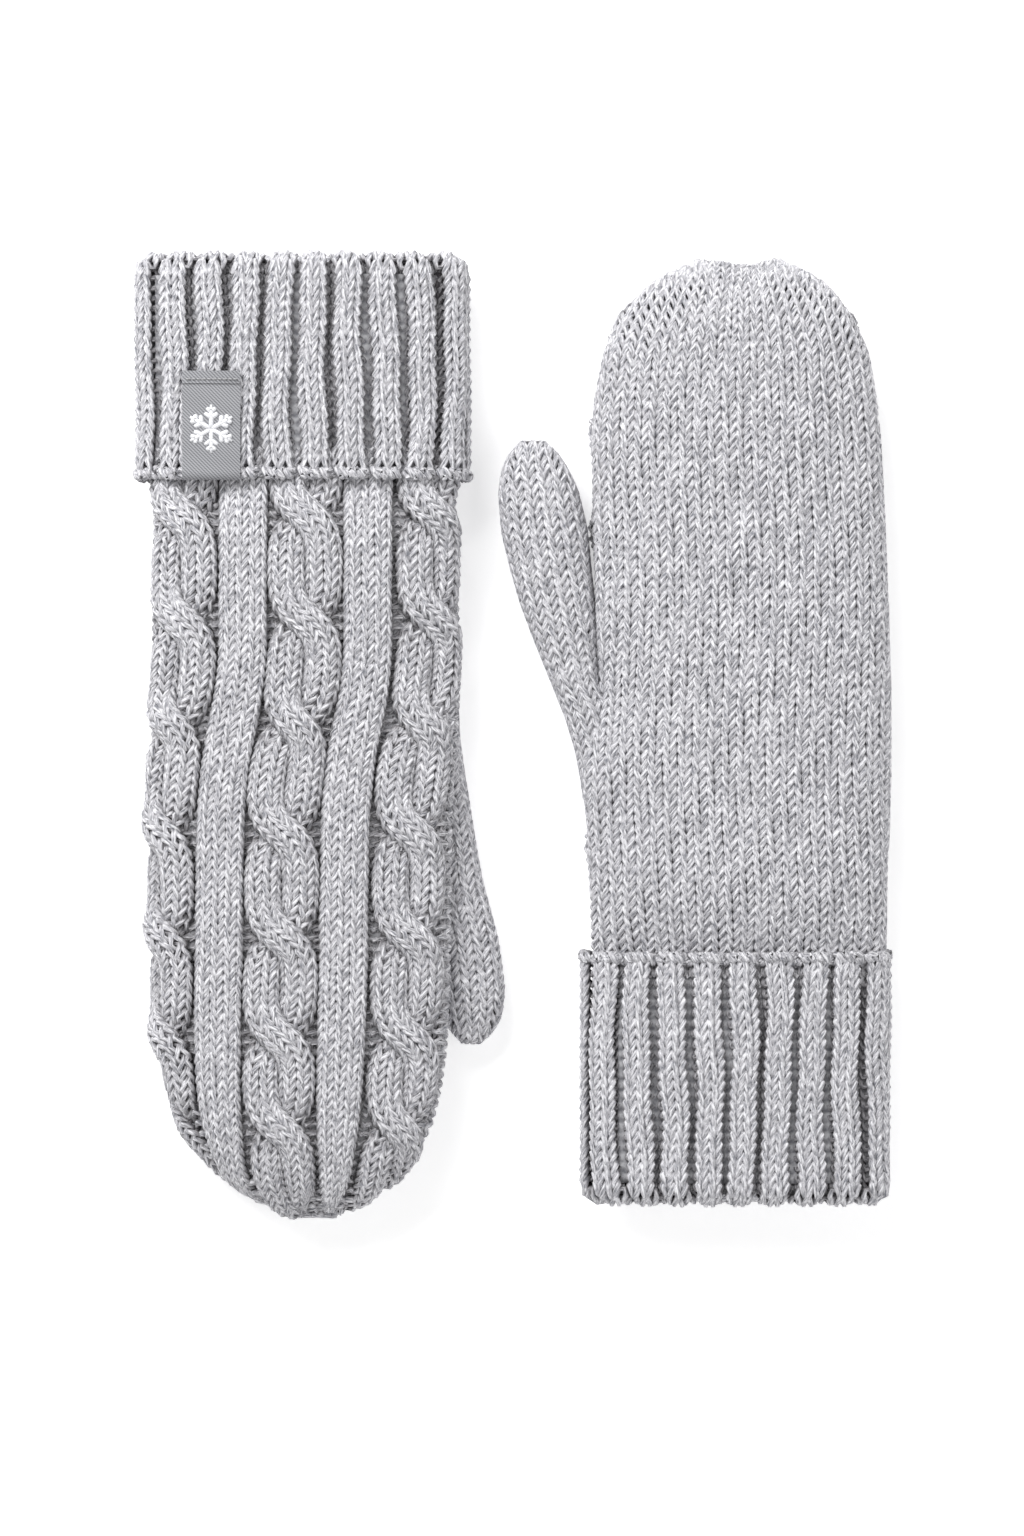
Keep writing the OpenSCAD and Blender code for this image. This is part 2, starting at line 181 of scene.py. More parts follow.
def thumb_section(side, d, angle, inset):
    """A section of the thumb at d, drawn in by inset."""
    rows = THUMB[side]
    outer, inner = curve(rows, 1, d, 1) + inset, curve(rows, 2, d, 1) - inset
    low, high = curve(rows, 3, d, 1) + inset, curve(rows, 4, d, 1) - inset
    middle = (low + high) / 2
    x, z = oval(outer, inner, low, high, middle, middle, angle, 2.3, 2.3)
    return np.stack([x, LENGTH[side] - d + 0 * x, z], -1)


# %% [markdown]
# ## A surface to knit on
# `Skin` holds a surface as rows of points. Along a row, places are measured in mm of fabric, not
# in x, so that stitches keep their width where the fabric rolls over the side of the hand.

# %% Skin
class Skin:
    """A surface in rows, with its fabric lengths and its outward direction at every place."""

    def __init__(self, v, points, across=193):
        """v: place of each row in mm. points: (rows, columns, 3) in the mitten's own plan."""
        step = np.linalg.norm(np.diff(points, axis=1), axis=2)
        run = np.concatenate([np.zeros((len(v), 1)), np.cumsum(step, axis=1)], axis=1)
        self.v, self.length = v, run[:, -1]
        even = np.linspace(0, 1, across)
        self.points = np.empty((len(v), across, 3))
        self.start = np.empty(len(v))
        for i in range(len(v)):
            for axis in range(3):
                self.points[i, :, axis] = np.interp(even * run[i, -1], run[i], points[i, :, axis])
            order = np.argsort(points[i, :, 0])
            self.start[i] = np.interp(0, points[i, order, 0], run[i, order])
        along = np.gradient(self.points, v, axis=0)
        across_way = np.gradient(self.points, axis=1)
        normal = np.cross(across_way, along)
        size = np.linalg.norm(normal, axis=2, keepdims=True)
        self.normal = normal / np.maximum(size, 1e-9)
        lines = self.points[:, [across // 4, across // 2, across * 3 // 4]]
        rise = np.linalg.norm(np.diff(lines, axis=0), axis=2).mean(axis=1)
        self.run = np.concatenate([[0], np.cumsum(rise)])
        self.pace = np.clip(np.gradient(self.run, v), 1, 4)
        self.stretch = np.linalg.norm(along, axis=2)
        inside = self.points.mean(axis=1, keepdims=True)
        if np.sum(self.normal * (self.points - inside)) < 0:
            self.normal = -self.normal

    def at(self, s, v, height):
        """The points at fabric place s from the centre line, row place v, raised by height."""
        row = np.clip(np.interp(v, self.v, np.arange(len(self.v))), 0, len(self.v) - 1.001)
        i = row.astype(int)
        f = (row - i)[..., None]
        length = np.interp(v, self.v, self.length)
        share = (s + np.interp(v, self.v, self.start)) / length
        column = np.clip(share, 0, 1) * (self.points.shape[1] - 1.001)
        j = column.astype(int)
        g = (column - j)[..., None]

        def mix(grid):
            near = grid[i, j] * (1 - g) + grid[i, j + 1] * g
            far = grid[i + 1, j] * (1 - g) + grid[i + 1, j + 1] * g
            return near * (1 - f) + far * f

        n = mix(self.normal)
        n = n / np.maximum(np.linalg.norm(n, axis=-1, keepdims=True), 1e-9)
        return mix(self.points) + n * height[..., None], n

    def tightness(self, s, v):
        """How much more the fabric is stretched here than along the row's middle."""
        row = np.clip(np.searchsorted(self.v, v), 0, len(self.v) - 1)
        share = (s + np.interp(v, self.v, self.start)) / np.interp(v, self.v, self.length)
        column = (np.clip(share, 0, 1) * (self.points.shape[1] - 1)).astype(int)
        return np.clip(self.stretch[row, column] / self.pace[row], 1, 2)

    def reach(self, v):
        """How far the fabric goes on each side of the centre line at v."""
        start, length = np.interp(v, self.v, self.start), np.interp(v, self.v, self.length)
        return -start, length - start


# %% [markdown]
# ## Skins of the hand, the thumb and the cuff
# The hand needs two skins, because its panels are knitted apart and meet at the side seams. A
# thumb and a cuff are whole rounds. The upper skin of a cabled hand may run on past the seams,
# so that the outer cables can roll over the edge as they do on a real mitten.

# %% Skins of the hand, the thumb and the cuff
FOLD_ROUND = 3.4


def hand_skin(side, top, inset, past=0.0):
    """The upper or the lower panel of a hand, and the angle it runs on past the side seams."""
    end = LENGTH[side]
    v = np.concatenate([np.arange(FOLD[side] - 9, end - 12, 1.0), np.arange(end - 12, end - 0.3, 0.3)])
    first, last = (0, math.pi) if top else (math.pi, 2 * math.pi)
    angle = np.linspace(first + 1e-4 - past, last - 1e-4 + past, 241)
    dd, aa = np.meshgrid(LENGTH[side] - v, angle, indexing="ij")
    return Skin(v, hand_section(side, dd, aa, inset))


def thumb_skin(side, inset):
    """The whole round of a thumb."""
    rows = THUMB[side]
    v = np.arange(LENGTH[side] - rows[0][0] + 1, LENGTH[side] - rows[-1][0] + 0.5, 0.75)
    angle = np.linspace(-math.pi / 2, 1.5 * math.pi, 241)
    dd, aa = np.meshgrid(LENGTH[side] - v, angle, indexing="ij")
    points = thumb_section(side, dd, aa, inset)
    skin = Skin(v, points)
    skin.start = skin.length / 2
    return skin


def cuff_skin(side, inset, lip=9.0):
    """The turned-back cuff: up its outer face, round the fold and a little way inside."""
    half, radius = CUFF_W[side] / 2 - inset, FOLD_ROUND
    angle = np.linspace(1e-4, 2 * math.pi - 1e-4, 361)
    v = np.arange(-lip - math.pi * radius, FOLD[side] - radius + 2.0, 0.8)
    rows = []
    for place_v in v:
        if place_v >= 0:
            y, drop = place_v + radius, 0.0
        elif place_v > -math.pi * radius:
            turn = -place_v / radius
            y, drop = radius - radius * math.sin(turn), radius * (1 - math.cos(turn))
        else:
            y, drop = radius - (place_v + math.pi * radius), 2 * radius
        x, z = oval(-half + drop, half - drop, inset + drop, CUFF_T - inset - drop,
                    CUFF_T / 2, CUFF_T / 2, angle - math.pi / 2, 2.6, 3.2)
        rows.append(np.stack([x, np.full_like(x, y), z], -1))
    skin = Skin(v, np.array(rows))
    skin.start = skin.length / 2
    return skin


# %% [markdown]
# ## One strand of yarn
# A tube is swept along a centreline. Its rings are turned by the surface's own direction, so
# they never twist, and its UV map runs in mm along the yarn and once around it: the twist of
# the plies is painted in that map.

# %% Yarn tubes
class Yarn:
    """Collects tubes, then makes them one mesh."""

    def __init__(self):
        self.vertices, self.quads, self.uvs, self.caps, self.count = [], [], [], [], 0
        self.heights = []

    def tube(self, centre, normal, radius, sides, height=1.0):
        """Adds a tube. radius and height over the fabric: one number, or one for each point."""
        n = len(centre)
        if n < 3:
            return
        tangent = np.gradient(centre, axis=0)
        tangent /= np.maximum(np.linalg.norm(tangent, axis=1, keepdims=True), 1e-9)
        across = np.cross(tangent, normal)
        across /= np.maximum(np.linalg.norm(across, axis=1, keepdims=True), 1e-9)
        upward = np.cross(across, tangent)
        radius = np.broadcast_to(np.asarray(radius, float), (n,)).copy()
        radius[0], radius[-1] = radius[0] * 0.5, radius[-1] * 0.5
        turn = 2 * math.pi * np.arange(sides) / sides
        ring = (across[:, None] * np.cos(turn)[None, :, None]
                + upward[:, None] * np.sin(turn)[None, :, None])
        self.vertices.append((centre[:, None] + ring * radius[:, None, None]).reshape(-1, 3))
        # How high each ring point stands over the fabric, kept for the finish's painted shade.
        facing = (ring * normal[:, None]).sum(-1) * radius[:, None]
        self.heights.append((np.broadcast_to(height, (n,))[:, None] + facing).ravel())
        i, j = np.meshgrid(np.arange(n - 1), np.arange(sides), indexing="ij")
        i, j = i.ravel(), j.ravel()
        k = (j + 1) % sides
        base = self.count
        self.quads.append(base + np.stack(
            [i * sides + j, (i + 1) * sides + j, (i + 1) * sides + k, i * sides + k], -1))
        run = np.concatenate([[0], np.cumsum(np.linalg.norm(np.diff(centre, axis=0), axis=1))])
        run = run + random.uniform(0, 900)
        u0, u1, w0, w1 = run[i], run[i + 1], j / sides, (j + 1) / sides
        self.uvs.append(np.stack([np.stack([u0, w0], -1), np.stack([u1, w0], -1),
                                  np.stack([u1, w1], -1), np.stack([u0, w1], -1)], 1))
        self.caps.append(base + np.arange(sides))
        self.caps.append(base + (n - 1) * sides + np.arange(sides)[::-1])
        self.count += n * sides

    def finish(self, name, side, material):
        """Makes the mesh, in metres, in the shared frame."""
        points = place(side, np.concatenate(self.vertices))
        points[:, 2] = np.where(points[:, 2] < 1, np.exp(np.minimum(points[:, 2], 1) - 1), points[:, 2])
        points = points * MM
        quads, uvs = np.concatenate(self.quads), np.concatenate(self.uvs)
        loops = np.concatenate([quads.ravel()] + [c for c in self.caps])
        sizes = np.concatenate([np.full(len(quads), 4), [len(c) for c in self.caps]]).astype(int)
        mesh = bpy.data.meshes.new(name)
        mesh.vertices.add(len(points))
        mesh.vertices.foreach_set("co", points.astype(np.float32).ravel())
        mesh.loops.add(len(loops))
        mesh.loops.foreach_set("vertex_index", loops.astype(np.int32))
        mesh.polygons.add(len(sizes))
        starts = np.concatenate([[0], np.cumsum(sizes)[:-1]])
        mesh.polygons.foreach_set("loop_start", starts.astype(np.int32))
        mesh.polygons.foreach_set("use_smooth", np.ones(len(sizes), bool))
        layer = mesh.uv_layers.new(name="yarn")
        flat = np.zeros((len(loops), 2), np.float32)
        flat[: len(quads) * 4] = uvs.reshape(-1, 2)
        layer.data.foreach_set("uv", flat.ravel())
        # The finish paints shade by this height: the lower a point lies, the darker its colour.
        height = mesh.attributes.new("height", "FLOAT", "POINT")
        height.data.foreach_set("value", np.concatenate(self.heights).astype(np.float32))
        mesh.update(calc_edges=True)
        mesh.validate()
        made = bpy.data.objects.new(name, mesh)
        bpy.context.scene.collection.objects.link(made)
        made.data.materials.append(material)
        triangles = int((sizes - 2).sum())
        print(f"{name}: {len(self.caps) // 2} strands, {triangles} triangles")
        return made


# %% [markdown]
# ## The stitch
# In plain knitting each loop leans out to the front along its two legs and ducks behind at its
# head and foot. One formula gives the whole course: the sideways swing has twice the rhythm of
# the rise and fall, and so has the depth.

# %% The stitch formula
WALE, COURSE = 4.2, 2.85
SWING, RISE, DEPTH, YARN_R = 0.315, 1.1, 1.0, 0.86


def course_line(first, last, samples, wale, course, purl=False):
    """Offsets of one course from wale `first` to wale `last`: along it, up it, and depth."""
    t = np.linspace(2 * math.pi * first, 2 * math.pi * last, int((last - first) * samples) + 1)
    across = wale * t / (2 * math.pi) + SWING * wale * np.sin(2 * t)
    up = -RISE * course * np.cos(t)
    front = -DEPTH * np.cos(2 * t) * (-1 if purl else 1)
    return t, across, up, front


def uneven(t, row, amount, seed):
    """Slow drift that makes hand-like unevenness, the same every run."""
    slow = np.sin(t * 0.31 + row * 0.73 + seed)
    quick = np.sin(t * 0.83 - row * 0.41 + 2.1 * seed)
    return amount * (slow + quick) / 2


# %% [markdown]
# ## Plain knitting
# Courses lie evenly over the surface, and towards the tip the stitches draw together and their
# number falls, as a knitter decreases. Where the skin is stretched the yarn is made thicker, so
# that no holes open between the courses.

# %% Plain knitting
def plain_panel(yarn, skin, v_first, v_last, tip_v, sides, samples, seed=0.0, wale=WALE,
                course=COURSE, radius=YARN_R, purl=False, sink=0.0, part=(0, 1), closed=False):
    """Plain knitting over a skin, or a part of its courses; it draws together at the tip.

    A closed panel goes the whole way round, so its courses end where they began.
    """
    full = np.interp(tip_v - 60, skin.v, skin.length)
    ends = np.interp([v_first, v_last], skin.v, skin.run)
    courses = np.interp(np.arange(ends[0], ends[1], course), skin.run, skin.v)
    for row in range(round(part[0] * len(courses)), round(part[1] * len(courses))):
        v = courses[row]
        length, pace = (float(np.interp(v, skin.v, values)) for values in (skin.length, skin.pace))
        drawn = max(0.62, min(1.0, (length / full) ** 0.8))
        low, high = skin.reach(v)
        first = math.ceil(low / (wale * drawn) * 2) / 2
        last = math.floor(high / (wale * drawn) * 2) / 2
        if closed:
            half = max(1, round(length / (2 * wale * drawn)))
            first, last, drawn = -half, half, length / (2 * half * wale)
        if last - first < 1.5:
            continue
        t, across, up, front = course_line(first, last, samples, wale, course, purl=purl)
        across, up = across * drawn, up * (0.9 + 0.1 * drawn)
        if not closed:
            across = across + uneven(t, row, 0.28, seed) + 0.7 * math.sin(v * 0.06 + seed)
        up = up + uneven(t + 40, row, 0.3, seed + 1.3)
        size = radius * (0.75 + 0.25 * drawn) * (1 + uneven(t * 2.3, row * 1.9, 0.07, seed + 4))
        size = size * skin.tightness(across, np.full_like(t, v)) ** 1.1
        sunk = sink * ramp(np.minimum(across - low, high - across), 0, 9) * ramp(tip_v - v, -2, 14)
        centre, normal = skin.at(across, v + up / pace, front - sunk)
        # The last number is the height the finish paints shade by; a sunk ground counts three tenths of
        # its sink there, so it is painted darker, though less than its depth.
        yarn.tube(centre, normal, size, sides, front - sunk * 0.3)


# %% [markdown]
# ## Cables and the strips between them
# A cable is two ropes of three wales each that swap places every ten rows or so. Each rope is
# a narrow ribbon of plain knitting, domed across, that follows its own path over the hand.

# %% Ribbons
CROSSINGS = np.array([44.0, 74.0, 104.0, 134.0, 165.0, 195.0, 224.0, 250.0, 278.0])
LEAN = ([0, 121, 138.5, 156.5, 202.5, 248.5, 280], [0, 0, 4, 6.5, 7, 8.2, 8.2])
CABLES = (34.8, -1.1, -37.8)
STRIPS = (16.9, -19.1)
SWAP, OPEN = 4.6, 1.07
ROPE_WALE, STRIP_WALE, RIBBON_COURSE = 3.4, 3.35, 2.75


def column_x(side, x, v):
    """Where a column that starts at x lies at v: it leans, then draws in to the fingertip."""
    d = LENGTH[side] - v
    width = (curve(EDGE[side], 1, d) - curve(EDGE[side], 2, d)) / 86
    drawn = np.clip(width, 0.05, 1) ** 0.4
    lean = curve(list(zip(*LEAN)), 1, v, 7) if side == "right" else 0 * v
    return TIP_X[side] + (x - TIP_X[side]) * drawn + lean * drawn, drawn


def rope_path(v, which):
    """Sideways place (-1 to 1), lift and squeeze of one of the two ropes of a cable."""
    place_now, lift = np.full_like(v, 1.0 if which else -1.0), np.zeros_like(v)
    squeeze = np.zeros_like(v)
    for n, crossing in enumerate(CROSSINGS):
        in_front = which != n % 2
        nearness = np.exp(-(((v - crossing) / 6.4) ** 2))
        lift = lift + nearness * (1.9 if in_front else -2.8)
        squeeze = squeeze + nearness
        place_now = -place_now * np.tanh((v - crossing) / SWAP)
    return place_now, lift, np.minimum(squeeze, 1)


# %% [markdown]
# ## Laying a ribbon on the hand
# A ribbon's courses have to lie square to its path, or the stitches of a rope would shear where
# it crosses over. So the path is walked in steps of one course, and each course is turned to
# the path's slope. Near the side seams the ribbon sinks, as the fabric does at a seam.

# %% Laying a ribbon on the hand
def ribbon_path(skin, side, x, v_first, v_last, rope, swell):
    """Fabric place, row place, tilt, lift and drawing-in at each course of a ribbon."""
    v = np.arange(v_first, v_last, 0.25)
    middle, drawn = column_x(side, x, v)
    fabric = np.empty_like(v)
    for i, row in enumerate(np.clip(np.searchsorted(skin.v, v), 0, len(skin.v) - 1)):
        line = skin.points[row, :, 0]
        inner = np.arange(min(line.argmin(), line.argmax()), max(line.argmin(), line.argmax()) + 1)
        inner = inner if line[inner[0]] < line[inner[-1]] else inner[::-1]
        near = np.clip(middle[i], line.min() * 0.86, line.max() * 0.86)
        where = np.interp(near, line[inner], inner) / (len(line) - 1)
        way = 1 if line[-1] > line[0] else -1
        fabric[i] = where * skin.length[row] - skin.start[row] + way * (middle[i] - near)
    soft = np.ones(17) / 17
    fabric = np.convolve(np.pad(fabric, 8, mode="edge"), soft, mode="valid")
    lift, pinch = np.zeros_like(v), np.zeros_like(v)
    if rope is None:
        drawn = drawn ** 2.5
    else:
        offset, lift, pinch = rope_path(v, rope)
        fabric = fabric - offset * swell * OPEN * drawn * (1 - 0.05 * pinch)
    pace = np.interp(v, skin.v, skin.pace)
    slope = np.gradient(fabric, v) / pace
    run = np.concatenate([[0], np.cumsum(np.sqrt(1 + slope[1:] ** 2) * 0.25 * pace[1:])])
    at = np.interp(np.arange(0, run[-1], RIBBON_COURSE), run, v)
    return [np.interp(at, v, values) for values in
            (fabric, v, np.arctan(slope), lift, drawn * (1 - 0.08 * pinch), pace)]


def ribbon(yarn, skin, side, x, v_first, v_last, wales, sides, samples, width, dome, sink, tuck,
           rope=None, seed=0.0, radius=0.82, full_turn=1.2):
    """A strip of knitting, `wales` wide, along a column; tuck is its depth at the side seams."""
    swell = wales * width / 2
    path = ribbon_path(skin, side, x, v_first, v_last, rope, swell)
    for row, (fabric, v0, tilt, lift, drawn, pace) in enumerate(zip(*path)):
        t, across, up, front = course_line(0, wales, samples, width, RIBBON_COURSE)
        across = across - swell + uneven(t, row, 0.15, seed + x)
        up = up + uneven(t + 30, row, 0.22, seed + x + 2)
        angle = across / swell * full_turn
        flat = np.sin(angle) / math.sin(full_turn) * swell * drawn
        height = dome * (np.cos(angle) - math.cos(full_turn)) / (1 - math.cos(full_turn))
        s = fabric + flat * math.cos(tilt) + up * math.sin(tilt)
        v = v0 + (up * math.cos(tilt) - flat * math.sin(tilt)) / pace
        low, high = skin.reach(v0)
        inside = np.flatnonzero((s > low) & (s < high))
        if len(inside) < 1.5 * samples:
            continue
        keep = slice(inside[0], inside[-1] + 1)
        edge = ramp(np.abs(across), swell * 0.82, swell * 1.12)
        calm = ramp(np.minimum(s - low, high - s), 0, 7)
        calm = calm * (0.55 + 0.45 * ramp(LENGTH[side] - v0, 0, 12))
        bulge = (height + lift - sink) * calm - tuck * (1 - calm) - 1.5 * edge
        centre, normal = skin.at(s, v, front + bulge)
        size = radius * (0.7 + 0.3 * min(drawn, 1))
        size = size * (1 + uneven(t * 2.3, row * 1.9, 0.07, seed + x))
        # Painted shade: this shading height drops down the sides of the dome and at the ribbon's edges,
        # so the gutters are painted darker, and it follows the lift, so a rope passing behind is
        # painted darker than one in front.
        depth = front - 0.2 * (dome - height) - 0.7 * edge + 0.2 * lift
        yarn.tube(centre[keep], normal[keep], size[keep], sides, depth[keep])


def cable_panel(side, top, v_first, v_last, sides, samples):
    """Three cables, two plain strips, and the sunk purl ground that shows between them."""
    made = {"strips": Yarn(), "ground": Yarn()}
    skin = hand_skin(side, top, MIDDLE, 0.62 if top else 0.0)
    tuck = 1.3 if top else 2.4
    for number, x in enumerate(CABLES):
        made[f"cable_{number + 1}"] = ropes = Yarn()
        for rope in (0, 1):
            ribbon(ropes, skin, side, x, v_first, v_last, 3, sides, samples, ROPE_WALE,
                   dome=2.6, sink=0.9, tuck=tuck, rope=rope, seed=rope * 3.0)
    for x in STRIPS:
        ribbon(made["strips"], skin, side, x, v_first, v_last, 4, sides, samples, STRIP_WALE,
               dome=1.0, sink=0.3, tuck=tuck, full_turn=0.8)
    plain_panel(made["ground"], hand_skin(side, top, MIDDLE), v_first, v_last, LENGTH[side], 5, 7,
                seed=2.0, wale=4.6, purl=True, sink=3.0, radius=0.9, course=3.0)
    return made


# %% [markdown]
# ## Finishes
# Light grey heather yarn: white and grey fibres are spun together, so the colour runs in fine
# streaks along the plies. The plies wind round the yarn, which a slanted wave in the yarn's own
# UV map shows. A soft sheen stands for the fuzz.

# %% Shader helpers
class Maths:
    """A socket that can be used in arithmetic."""

    def __init__(self, tree, socket):
        self.tree, self.socket = tree, socket

    def _make(self, operation, first, second=None):
        node = self.tree.nodes.new("ShaderNodeMath")
        node.operation = operation
        for index, value in enumerate((first, second)):
            if isinstance(value, Maths):
                self.tree.links.new(value.socket, node.inputs[index])
            elif value is not None:
                node.inputs[index].default_value = value
        return Maths(self.tree, node.outputs[0])

    def __add__(self, other):
        return self._make("ADD", self, other)

    __radd__ = __add__

    def __mul__(self, other):
        return self._make("MULTIPLY", self, other)

    __rmul__ = __mul__

    def __sub__(self, other):
        return self._make("SUBTRACT", self, other)

    def __rsub__(self, other):
        return self._make("SUBTRACT", other, self)

    def sine(self):
        return self._make("SINE", self)


# %% [markdown]
# ## Making a material
# Every finish starts from the same shader, so one class makes it, adds nodes in one line each,
# turns a factor into colours and paints the result with a matching bump.

# %% Making a material
class Finish:
    """A new material and a short way to add nodes to it."""

    def __init__(self, name, roughness, sheen=0.0):
        self.material = bpy.data.materials.new(name)
        self.material.use_nodes = True
        self.tree = self.material.node_tree
        self.shader = self.tree.nodes["Principled BSDF"]
        self.shader.inputs["Roughness"].default_value = roughness
        self.shader.inputs["Sheen Weight"].default_value = sheen
        self.shader.inputs["Specular IOR Level"].default_value = 0.25

    def add(self, kind, settings=None, **values):
        node = self.tree.nodes.new(kind)
        for key, value in (settings or {}).items():
            setattr(node, key, value)
        for key, value in values.items():
            socket = node.inputs[key.replace("_", " ")]
            if isinstance(value, Maths):
                self.tree.links.new(value.socket, socket)
            elif isinstance(value, bpy.types.NodeSocket):
                self.tree.links.new(value, socket)
            else:
                socket.default_value = value
        return node

    def colours(self, factor, stops):
        node = self.add("ShaderNodeValToRGB", Fac=factor)
        ramp_now = node.color_ramp
        while len(ramp_now.elements) < len(stops):
            ramp_now.elements.new(0.5)
        for element, (at, colour) in zip(ramp_now.elements, stops):
            element.position, element.color = at, (*colour, 1)
        return node.outputs["Color"]

    def shade(self, colour, amount, dark):
        """The colour, multiplied by dark as amount goes from 0 to 1."""
        node = self.add("ShaderNodeMix", {"data_type": "RGBA", "blend_type": "MULTIPLY"})
        self.tree.links.new(amount.socket, node.inputs[0])
        self.tree.links.new(colour, node.inputs[6])
        node.inputs[7].default_value = (*dark, 1)
        return node.outputs[2]

    def paint(self, colour, height=None, strength=0.3, distance=0.0003):
        self.tree.links.new(colour, self.shader.inputs["Base Color"])
        if height is not None:
            bump = self.add("ShaderNodeBump", Strength=strength, Distance=distance, Height=height)
            self.tree.links.new(bump.outputs["Normal"], self.shader.inputs["Normal"])
        return self.material


# %% [markdown]
# ## Heather yarn
# Stretched noise along the yarn gives the fibres' streaks, and a finer one blends in patches.
# Each mesh also carries how high a point stands over the fabric: the colour darkens as that
# falls, because little light reaches the depth between loops.

# %% Heather yarn
def wool(name, light):
    """Heather yarn with three plies."""
    finish = Finish(name, 0.95, 0.2)
    uv = finish.add("ShaderNodeUVMap", {"uv_map": "yarn"}).outputs["UV"]
    parts = finish.add("ShaderNodeSeparateXYZ", Vector=uv)
    along, around = (Maths(finish.tree, parts.outputs[i]) for i in (0, 1))
    ply = (along * 0.9 + around * (2 * math.pi * 3)).sine()
    slanted = finish.add("ShaderNodeCombineXYZ", X=along * 0.35, Y=around * 7 + along * 0.35,
                         Z=0.0).outputs[0]
    streak = finish.add("ShaderNodeTexNoise", Vector=slanted, Scale=1.3, Detail=3.0,
                        Roughness=0.65).outputs["Fac"]
    place_now = finish.add("ShaderNodeTexCoord").outputs["Object"]
    patch = finish.add("ShaderNodeTexNoise", Vector=place_now, Scale=420.0, Detail=2.0)
    factor = Maths(finish.tree, streak) * 1.15 + Maths(finish.tree, patch.outputs["Fac"]) * 0.3 - 0.225
    # Painted light and shade: the top of each yarn, facing out of the fabric, is painted lighter and
    # its underside darker.
    outward = (around * (2 * math.pi)).sine()
    factor = factor + ply * 0.035 + outward * 0.045 - 0.018
    g = light
    colour = finish.colours(factor, [(0.32, (0.22 * g, 0.225 * g, 0.255 * g)),
                                     (0.43, (0.46 * g, 0.46 * g, 0.49 * g)),
                                     (0.54, (0.67 * g, 0.66 * g, 0.69 * g)),
                                     (0.66, (0.97 * g, 0.97 * g, 1.0 * g))])
    # Painted shade: the colour is multiplied towards a dark tint where the yarn stands low over the
    # fabric.
    over = finish.add("ShaderNodeAttribute", {"attribute_name": "height"}).outputs["Fac"]
    colour = finish.shade(colour, (1.2 - Maths(finish.tree, over)) * 0.48, (0.17, 0.155, 0.16))
    height = ply * 0.5 + Maths(finish.tree, streak) * 1.2
    return finish.paint(colour, height, 0.75, 0.0005)


KNIT = wool("heather knitting yarn", 0.98)
RIBBING = wool("heather ribbing yarn", 0.98)
# The seam yarn is the same yarn painted about a tenth darker: painted shade along the seams and round
# the gathers.
SHADED_SEWING = wool("heather seam yarn", 0.88)


# %% [markdown]
# ## Lining and inner rib
# Both are seen only in the depth of a cuff, so they are plainer: a fine noise with a bump.

# %% Lining and inner rib
def fleece():
    """Soft grey knit, with no visible stitches."""
    finish = Finish("soft lining", 1.0, 0.3)
    place_now = finish.add("ShaderNodeTexCoord").outputs["Object"]
    noise = finish.add("ShaderNodeTexNoise", Vector=place_now, Scale=900.0, Detail=4.0).outputs["Fac"]
    colour = finish.colours(noise, [(0.3, (0.34, 0.34, 0.36)), (0.7, (0.48, 0.48, 0.50))])
    return finish.paint(colour, noise, 0.5, 0.0006)


LINING = fleece()


def ribbed():
    """Yarn seen only in the depth of the cuff: streaks and fine rows, on the piece's own place."""
    finish = Finish("inner ribbing", 0.95, 0.2)
    place_now = finish.add("ShaderNodeTexCoord").outputs["Object"]
    parts = finish.add("ShaderNodeSeparateXYZ", Vector=place_now)
    rows = (Maths(finish.tree, parts.outputs[1]) * 2130.0).sine() * 0.12
    noise = finish.add("ShaderNodeTexNoise", Vector=place_now, Scale=650.0, Detail=4.0).outputs["Fac"]
    weave = Maths(finish.tree, noise) + rows
    colour = finish.colours(weave, [(0.3, (0.2, 0.2, 0.22)), (0.7, (0.55, 0.55, 0.57))])
    return finish.paint(colour, weave, 0.6, 0.0006)


INNER_RIB = ribbed()


# %% [markdown]
# ## Pieces that cross a bend
# The hand bends at the knuckles, and a thumb bends where it leaves the hand. The yarn that
# crosses these places is not bent here: each piece only has its placing baked into its mesh.

# %% Where pieces bend
def bend_fingers(piece, side):
    """Fabric that crosses the knuckles."""
    y = LENGTH[side] - KNUCKLE_D
    ends = place(side, np.array([[0, y - 20, 16.5], [0, y + 20, 16.5]])) * MM
    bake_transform(piece)


def bend_thumb(piece, side):
    """Fabric that crosses from the hand on to the thumb."""
    y = LENGTH[side] - THUMB[side][0][0]
    ends = place(side, np.array([[-40, y - 2, 10], [-44, y + 16, 10]])) * MM
    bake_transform(piece)


# %% [markdown]
# ## The hands
# A real mitten hand is two panels, one cabled and one plain, with a seam down each side. They
# could be one tube of yarn, but then nothing could be taken apart or recoloured by itself, so
# the back is made as its cables, strips and ground, and the palm as a lower and an upper part.

# %% Hands
MIDDLE = 1.85
for side in ("right", "left"):
    tip = LENGTH[side]
    start = FOLD[side] - 7
    for top in (True, False):
        skin = hand_skin(side, top, MIDDLE)
        face = "back" if top == (side == "right") else "palm"
        sides_n, samples = (6, 10) if top else (5, 8)
        nodes = [f"{side}_{face}_hand", f"{side}_{face}_fingers"]
        if face == "back":
            made = cable_panel(side, top, start, tip - 1.6, sides_n, samples)
            for suffix, yarn in made.items():
                piece = yarn.finish(f"{side}_back_{suffix}", side, KNIT)
                bend_fingers(piece, side)
                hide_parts(*nodes)
        else:
            for suffix, part in (("lower", (0, 0.5)), ("upper", (0.5, 1))):
                yarn = Yarn()
                plain_panel(yarn, skin, start, tip - 1.2, tip, sides_n, samples, seed=start, part=part)
                piece = yarn.finish(f"{side}_palm_{suffix}", side, KNIT)
                bend_fingers(piece, side)
                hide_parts(*nodes)
